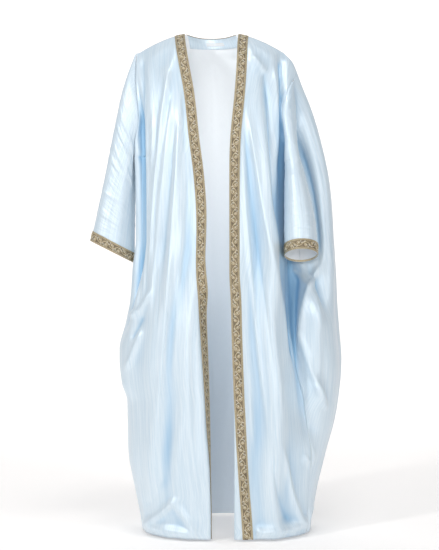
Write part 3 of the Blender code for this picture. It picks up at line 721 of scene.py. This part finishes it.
def armhole_ring(front, front_out, back_column):
    """The armhole's edge as a ring of points, down the front and back up."""
    down = front[:underarm + 1, -1] + front_out[:underarm + 1, -1] * ARMHOLE_LIFT
    edge = back[:underarm, back_column] + back_out[:underarm, back_column] * ARMHOLE_LIFT
    shoulder = (down[0] + edge[0]) / 2
    ring = np.concatenate([[shoulder], down[1:], edge[:0:-1], [shoulder]])
    set_off = 0.0012 * (1 - eased(drops[:underarm + 1] / 0.09))
    return ring, np.concatenate([set_off, set_off[underarm - 1::-1]])


def outward(points):
    """Normals of a tube's grid, smoothed round the ring."""
    wrapped = np.concatenate([points[:, -2:-1], points, points[:, 1:2]], axis=1)
    normals = np.cross(wrapped[:, 2:] - wrapped[:, :-2], np.gradient(points, axis=0))
    normals /= np.maximum(np.linalg.norm(normals, axis=2, keepdims=True), 1e-12)
    middle = points.mean(axis=1, keepdims=True)
    return normals if ((points - middle) * normals).sum() > 0 else -normals


def crinkles(points, seed, height):
    """Fine creases across a sleeve, stronger towards the cuff."""
    dice = np.random.default_rng(seed)
    rows, columns = points.shape[:2]
    down = np.linspace(0, 1, rows)[:, None]
    round_it = np.linspace(0, 2 * math.pi, columns)[None, :]
    total = np.zeros((rows, columns))
    for _ in range(44):
        place = dice.uniform(0.12, 0.97)
        lean = dice.uniform(-0.03, 0.03)
        centre = dice.uniform(0, 2 * math.pi)
        reach = dice.uniform(0.5, 1.2)
        width = dice.uniform(0.006, 0.013)
        turn = (round_it - centre + math.pi) % (2 * math.pi) - math.pi
        line = place + lean * np.sin(turn) + 0.01 * np.cos(3 * turn)
        total += dice.uniform(0.4, 1.0) * np.exp(-((down - line) / width) ** 2
                                                 - (turn / reach) ** 2)
    return total * height * eased(down / 0.15) * eased((1 - down) / 0.05)


root, set_offs = armhole_ring(left, left_out, -1)
cuff_centre = np.array((-0.294, 0.020, -0.6385))
cuff_width, cuff_depth = np.array((-0.066, 0, 0.0335)), np.array((0, -0.042, 0))
# How the rails leave the armhole and come to the cuff: on top, in front, below, behind.
leaving = ((-0.022, 0, 0.005), (-0.020, -0.010, 0), (-0.01, 0, 0), (-0.020, 0.01, 0))
arriving = ((0.06, 0, 0.20), (0.02, 0, 0.20), (0, 0, 0.20), (0.02, 0, 0.20))
rails = []
for start, set_off, angle in zip(root, set_offs, np.linspace(0, 2 * math.pi, len(root))):
    end = cuff_centre + cuff_width * math.cos(angle) + cuff_depth * math.sin(angle)
    cosine, sine = math.cos(angle), math.sin(angle)
    weights = (cosine, sine * (1 + cosine), -cosine, -sine * (1 + cosine))
    push = sum(np.array(part) * max(0, weight) for part, weight in zip(leaving, weights))
    pull = sum(np.array(part) * max(0, weight) for part, weight in zip(arriving, weights))
    t = np.linspace(0, 1, 200)[:, None]
    rail = (1 - t) ** 3 * start + 3 * t * (1 - t) ** 2 * (start + push)
    rail = rail + 3 * t * t * (1 - t) * (end + pull) + t ** 3 * end
    arc = arc_of(rail)
    stops = np.concatenate((np.linspace(set_off, arc[-1] - BAND_WIDTH, 105)[:-1],
                            arc[-1] - BAND_WIDTH * np.linspace(1, 0, BAND_STEPS + 1)))
    rails.append([[np.interp(stop, arc, rail[:, axis]) for axis in range(3)] for stop in stops])
rails[-1] = rails[0]
left_tube = np.array(rails).transpose(1, 0, 2)
left_tube_out = outward(left_tube)
left_tube = left_tube + left_tube_out * crinkles(left_tube, 11, 0.0016)[:, :, None]
left_tube_out = outward(left_tube)
sleeve_left = cloth_piece("sleeve_left_cloth", left_tube, sleeve_satin, reverse,
                          True, painted_shades=painted_fold_shade(left_tube, left_tube_out))

# Right sleeve: the same tube, hanging forward from a slit in the side seam, by level
# loops. Beside the slit: half width, depth forward and how far the middle lies to the
# right. Below it: height, x, back y, half width, depth and tilt.
SLIT_DROPS = (0.102, 0.13, 0.18, 0.23, 0.28, 0.32, 0.36)
SLIT_BULGES = (
    (0.0005, 0.003, 0.001),
    (0.001, 0.007, 0.001),
    (0.003, 0.017, 0.002),
    (0.006, 0.031, 0.003),
    (0.009, 0.047, 0.004),
    (0.013, 0.064, 0.006),
    (0.020, 0.078, 0.008),
)
SLEEVE_LOOPS = (
    (-0.400, 0.2380, -0.0570, 0.026, 0.086, 0.003),
    (-0.445, 0.2425, -0.0610, 0.032, 0.096, 0.006),
    (-0.495, 0.2475, -0.0645, 0.038, 0.103, 0.009),
    (-0.545, 0.2520, -0.0680, 0.043, 0.108, 0.012),
    (-0.590, 0.2545, -0.0720, 0.046, 0.110, 0.015),
    (-0.621, 0.2560, -0.0745, 0.047, 0.110, 0.017),
    (-0.636, 0.2563, -0.0750, 0.047, 0.110, 0.018),
    (-0.651, 0.2565, -0.0750, 0.047, 0.110, 0.018),
)
LOOP_COLUMNS, BAND_LOOP, LOOP_PARTING = 120, 12, 0.0002
front_edge = right[:, -1] + right_out[:, -1] * ARMHOLE_LIFT
back_edge = back[:, 0] + back_out[:, 0] * ARMHOLE_LIFT
loops = []
shapes = [(width, depth, shift, 0, 0) for width, depth, shift in SLIT_BULGES]
starts = [picked(front_edge, [np.interp(drop, drops, np.arange(len(drops)))])[0]
          for drop in SLIT_DROPS]
ends = [picked(back_edge, [np.interp(drop, drops, np.arange(len(drops)))])[0]
        for drop in SLIT_DROPS]
ends[-1] = ends[-1] + np.array((0.002, 0, 0))
for height, x, back_y, half_width, depth, tilt in SLEEVE_LOOPS:
    starts.append(np.array((x - LOOP_PARTING, back_y, height)))
    ends.append(np.array((x + LOOP_PARTING, back_y, height)))
    shapes.append((half_width, depth, 0, 1, tilt))
turn = np.linspace(0, 1, 500)[:, None]
for start, end, (half_width, depth, shift, roundness, tilt) in zip(starts, ends, shapes):
    drawn_in = 1.3 * np.sin(math.pi * turn) * (1 - roundness) + roundness
    side = (shift * (1 - np.cos(2 * math.pi * turn)) / 2
            - half_width * np.sin(2 * math.pi * turn) * drawn_in)
    loop = start + (end - start) * (1 - np.cos(math.pi * turn)) / 2
    loop = loop + np.concatenate((side, -depth * (1 - np.cos(2 * math.pi * turn)) / 2,
                                  -tilt * np.cos(2 * math.pi * turn)), axis=1)
    arc = arc_of(loop)
    loops.append(picked(loop, np.interp(np.linspace(0, arc[-1], LOOP_COLUMNS + 1), arc,
                                        np.arange(len(arc)))))
loops = np.array(loops)


def flowing(rows, steps):
    """Rows of points refined on smooth curves that pass through them."""
    padded = np.concatenate([2 * rows[:1] - rows[1:2], rows, 2 * rows[-1:] - rows[-2:-1]])
    refined = []
    for row in range(1, len(rows)):
        before, start, end, after = padded[row - 1:row + 3]
        for t in np.linspace(0, 1, steps + 1)[:-1]:
            refined.append(0.5 * (2 * start + (end - before) * t
                                  + (2 * before - 5 * start + 4 * end - after) * t * t
                                  + (3 * start - before - 3 * end + after) * t ** 3))
    return np.array(refined + [rows[-1]])


right_tube = np.concatenate([flowing(loops[:BAND_LOOP + 1], 9),
                             flowing(loops[BAND_LOOP:], BAND_STEPS // 2)[1:]])
right_tube_out = outward(right_tube)
loop_places = np.arange(LOOP_COLUMNS + 1)
seam_hold = eased(np.minimum(loop_places, LOOP_COLUMNS - loop_places) / 6)
right_tube = right_tube + right_tube_out * (crinkles(right_tube, 23, 0.0013)
                                            * seam_hold)[:, :, None]
right_tube_out = outward(right_tube)
sleeve_right = cloth_piece("sleeve_right_cloth", right_tube, sleeve_satin,
                           reverse, painted_shades=painted_fold_shade(right_tube, right_tube_out))

# Bands: gold galloon 30 mm wide, sewn flat along both fronts, round the back neck and
# the cuffs. A dark ground carries a scrolling vine of gold cord with silver buds,
# between two corded edges.
BAND_THICKNESS, BAND_GAP, BAND_MIDDLE = 0.0011, 0.0003, BAND_WIDTH / 2
EDGE_CORDS = (0.0012, 0.0042, 0.0258, 0.0288)
ORNAMENT_EDGES, BAND_END = (0.0056, 0.0244), 0.001
VINE_PERIOD, VINE_SWING, SCROLL_TURN = 0.040, 0.0055, 2 * math.pi * 1.35
# Leaves beside each scroll: across from the middle, share of a period on, and half length.
LEAVES = ((-0.0034, 0.0, 0.0024), (0.0062, 0.10, 0.0030), (0.0030, 0.26, 0.0034),
          (0.0078, 0.36, 0.0022))
braid, braid_shader = new_material("gold_galloon_ground")
band_map = Flow(Flow.node("ShaderNodeUVMap", {"uv_map": "cut"}).outputs[0])
ribs = Flow(Flow.node("ShaderNodeTexWave", {"wave_type": "BANDS", "bands_direction": "Y"},
                      Vector=band_map, Scale=360.0, Distortion=2.0).outputs["Fac"])
grain = noise(stretched(band_map, 700, 700), 1.0, 2.0)
tarnish = noise(band_map, 55.0, 2.0)
connect(blended((ribs * 0.3 + grain * 0.3 + tarnish * 0.4).between(0.40, 0.62),
                (0.08, 0.058, 0.032, 1), (0.46, 0.37, 0.24, 1)), braid_shader, "Base Color")
connect(bumped(ribs * 0.6 + grain * 0.4, 0.6, 0.0006), braid_shader, "Normal")
braid_shader.inputs["Roughness"].default_value = 0.5
braid_shader.inputs["Metallic"].default_value = 0.3


def thread_material(name, dark, light, roughness):
    """Twisted metal thread, worn darker in places."""
    made, shader = new_material(name)
    cord_map = Flow(Flow.node("ShaderNodeUVMap", {"uv_map": "cut"}).outputs[0])
    twist = Flow(Flow.node("ShaderNodeTexWave", {"wave_type": "BANDS",
                                                 "bands_direction": "DIAGONAL"},
                           Vector=cord_map, Scale=420.0).outputs["Fac"])
    worn = noise(cord_map, 60.0, 2.0)
    connect(blended(twist * 0.6 + worn * 0.4, dark, light), shader, "Base Color")
    connect(bumped(twist, 0.7, 0.0004), shader, "Normal")
    shader.inputs["Roughness"].default_value = roughness
    shader.inputs["Metallic"].default_value = 0.75
    return made


gold_thread = thread_material("gold_thread", (0.40, 0.31, 0.18, 1), (0.94, 0.82, 0.58, 1), 0.34)
silver_thread = thread_material("silver_thread", (0.55, 0.51, 0.42, 1), (0.97, 0.94, 0.84, 1),
                                0.40)


def ribbon(mesh, layers, path, half_width, height, finish, base=0.0):
    """One raised cord of half-round section, four faces wide, along a path on the band."""
    place, uv_layer = layers
    made = bmesh.ops.create_grid(mesh, x_segments=4, y_segments=len(path) - 1, size=0.5)
    run = np.gradient(path, axis=0)
    run /= np.maximum(np.linalg.norm(run, axis=1, keepdims=True), 1e-12)
    side = np.stack([-run[:, 1], run[:, 0]], axis=1)
    arc = arc_of(path)
    grid = {}
    for vertex in made["verts"]:
        row = round((0.5 - vertex.co.y) * (len(path) - 1))
        column = round((vertex.co.x + 0.5) * 4)
        grid[vertex] = (row, column)
        swing = math.cos(math.pi * column / 4)
        spot = path[row] + side[row] * half_width * swing
        lift = base + height * math.sin(math.pi * column / 4) ** 0.7
        vertex.co = Vector(place(spot[0], spot[1], lift))
    faces = {face for vertex in made["verts"] for face in vertex.link_faces}
    for face in faces:
        face.material_index = finish
        for loop in face.loops:
            row, column = grid[loop.vert]
            loop[uv_layer].uv = (column * half_width / 2, arc[row])


def galloon(node, points, normals, closed=False, turned_in=False):
    """A flat band on part of a panel's grid, with its raised scrollwork."""
    rows = points.shape[0]
    base = points + normals * BAND_GAP
    centre = points[:, points.shape[1] // 2]
    along = arc_of(centre)
    length = along[-1]
    top = base + normals * BAND_THICKNESS
    if (surface_normals(base) * normals).sum() > 0:
        top = top[:, ::-1]
    band = cloth_piece(node + "_cloth", top, braid, braid, closed,
                       BAND_THICKNESS)
    columns = points.shape[1] - 1

    def place(across, down, lift):
        """A point on the band: across and down in metres, lifted off its face."""
        row = np.interp(down, along, np.arange(rows))
        column = np.clip(across / BAND_WIDTH, 0, 1) * columns
        low_row, low_column = int(min(row, rows - 2)), int(min(column, columns - 1))
        u, v = column - low_column, row - low_row
        corner = [(1 - v) * (1 - u), (1 - v) * u, v * (1 - u), v * u]
        spots = [(low_row, low_column), (low_row, low_column + 1),
                 (low_row + 1, low_column), (low_row + 1, low_column + 1)]
        spot = sum(weight * base[at] for weight, at in zip(corner, spots))
        normal = sum(weight * normals[at] for weight, at in zip(corner, spots))
        return spot + normal * (BAND_THICKNESS + lift)

    def kept_in(path):
        """A path of the ornament, kept between the corded edges and off the band's ends."""
        return np.stack([np.clip(path[:, 0], *ORNAMENT_EDGES),
                         np.clip(path[:, 1], BAND_END, length - BAND_END)], axis=1)

    mesh = bmesh.new()
    layers = (place, mesh.loops.layers.uv.new("cut"))
    steps = max(int(length / 0.004), 8)
    for edge in EDGE_CORDS:
        path = np.stack([np.full(steps, edge), np.linspace(0.0005, length - 0.0005, steps)],
                        axis=1)
        ribbon(mesh, layers, path, 0.0009, 0.0007, 0)
    if turned_in:
        path = np.stack([np.full(steps, BAND_WIDTH - 0.0030),
                         np.linspace(0.0, length, steps)], axis=1)
        ribbon(mesh, layers, path, 0.0028, -0.0002, 0, base=-0.0024)
    repeats = max(round(length / VINE_PERIOD), 1)
    period = length / repeats
    wave_rows = 14 * repeats
    down = np.linspace(BAND_END, length - BAND_END, wave_rows)
    vine = np.stack([BAND_MIDDLE + VINE_SWING * np.sin(2 * math.pi * down / period), down],
                    axis=1)
    ribbon(mesh, layers, vine, 0.0012, 0.0010, 0)
    dice = np.random.default_rng(len(node))
    for repeat in range(2 * repeats):
        side = 1 if repeat % 2 == 0 else -1
        middle = (repeat + 0.5) * period / 2
        turns = np.linspace(0.0, SCROLL_TURN, 20)
        size = dice.uniform(0.85, 1.15)
        radius = 0.0056 * size * (1 - turns / SCROLL_TURN * 0.72)
        angle = -side * turns + (math.pi if side > 0 else 0.0)
        scroll = np.stack([BAND_MIDDLE - side * 0.0034 - radius * np.cos(angle),
                           middle + radius * np.sin(angle)], axis=1)
        ribbon(mesh, layers, kept_in(scroll), 0.0011, 0.0010, 0)
        for across, run, reach in LEAVES:
            lean = dice.uniform(-1, 1) * 1.4
            t = np.linspace(-reach, reach, 6)
            leaf = np.stack([BAND_MIDDLE + side * (across + t * math.cos(lean)),
                             middle + period * run + t * math.sin(lean)], axis=1)
            ribbon(mesh, layers, kept_in(leaf), 0.0013, 0.0011, 1)
    data = bpy.data.meshes.new(node + "_embroidery")
    mesh.to_mesh(data)
    mesh.free()
    data.shade_smooth()
    data.materials.append(gold_thread)
    data.materials.append(silver_thread)
    scrollwork = bpy.data.objects.new(node + "_embroidery", data)
    bpy.context.collection.objects.link(scrollwork)
    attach(scrollwork, "root")
    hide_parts(node)
    return band


band_rows = slice(-BAND_STEPS - 1, None)
left_edge, right_edge = slice(0, BAND_STEPS + 1), slice(2, BAND_STEPS + 3)
galloon("cuff_trim_left", left_tube[band_rows].transpose(1, 0, 2),
        left_tube_out[band_rows].transpose(1, 0, 2), turned_in=True)
galloon("cuff_trim_right", right_tube[band_rows].transpose(1, 0, 2)[::-1],
        right_tube_out[band_rows].transpose(1, 0, 2)[::-1], turned_in=True)
galloon("front_trim_left", left[:, left_edge], left_out[:, left_edge])
galloon("front_trim_right", right[:, right_edge][:, ::-1], right_out[:, right_edge][:, ::-1])

# Neck: a narrow gold edge binds the back neckline, and a satin facing 30 mm deep is
# sewn inside it, with a plain woven label on its middle.
FACING_GAP, FACING_THICKNESS, LABEL_THICKNESS = 0.0006, 0.0007, 0.0005
neck_start = SIDE_STEPS + BLADE_STEPS
neck_columns = slice(neck_start + 2, neck_start + NECK_STEPS - 1)
neck_rows = int(np.argmin(np.abs(drops - 0.030))) + 1
neck_top, neck_top_out = back[:neck_rows, neck_columns], back_out[:neck_rows, neck_columns]
neck_band = neck_top.copy()
neck_band[0] += (neck_band[0] - neck_band[1]) * 0.8 + neck_top_out[0] * 0.0006
galloon("neck_trim_back", neck_band.transpose(1, 0, 2), neck_top_out.transpose(1, 0, 2))
facing = neck_top - neck_top_out * (CLOTH + FACING_GAP)
neck_facing = cloth_piece("neck_facing_cloth", facing, satin, satin,
                          thickness=FACING_THICKNESS, painted_shades=np.zeros(facing.shape[:2]))
label_columns = slice(13, 30)
label_top = facing[:, label_columns] - neck_top_out[:, label_columns] * 0.0010
label_shares = np.linspace(0.42, 0.72, 8) * (neck_rows - 1)
label = np.array([[[np.interp(share, np.arange(neck_rows), label_top[:, column, axis])
                    for axis in range(3)] for column in range(label_top.shape[1])]
                  for share in label_shares])
label_weave, label_shader = new_material("label_weave_face")
label_map = Flow(Flow.node("ShaderNodeUVMap", {"uv_map": "cut"}).outputs[0])
damask = noise(stretched(label_map, 2500, 1200), 1.0, 2.0)
connect(blended(damask, (0.62, 0.64, 0.66, 1), (0.78, 0.80, 0.81, 1)), label_shader, "Base Color")
connect(bumped(damask, 0.4, 0.0003), label_shader, "Normal")
label_shader.inputs["Roughness"].default_value = 0.7
neck_label = cloth_piece("neck_label_cloth", label, label_weave, label_weave,
                         thickness=LABEL_THICKNESS)
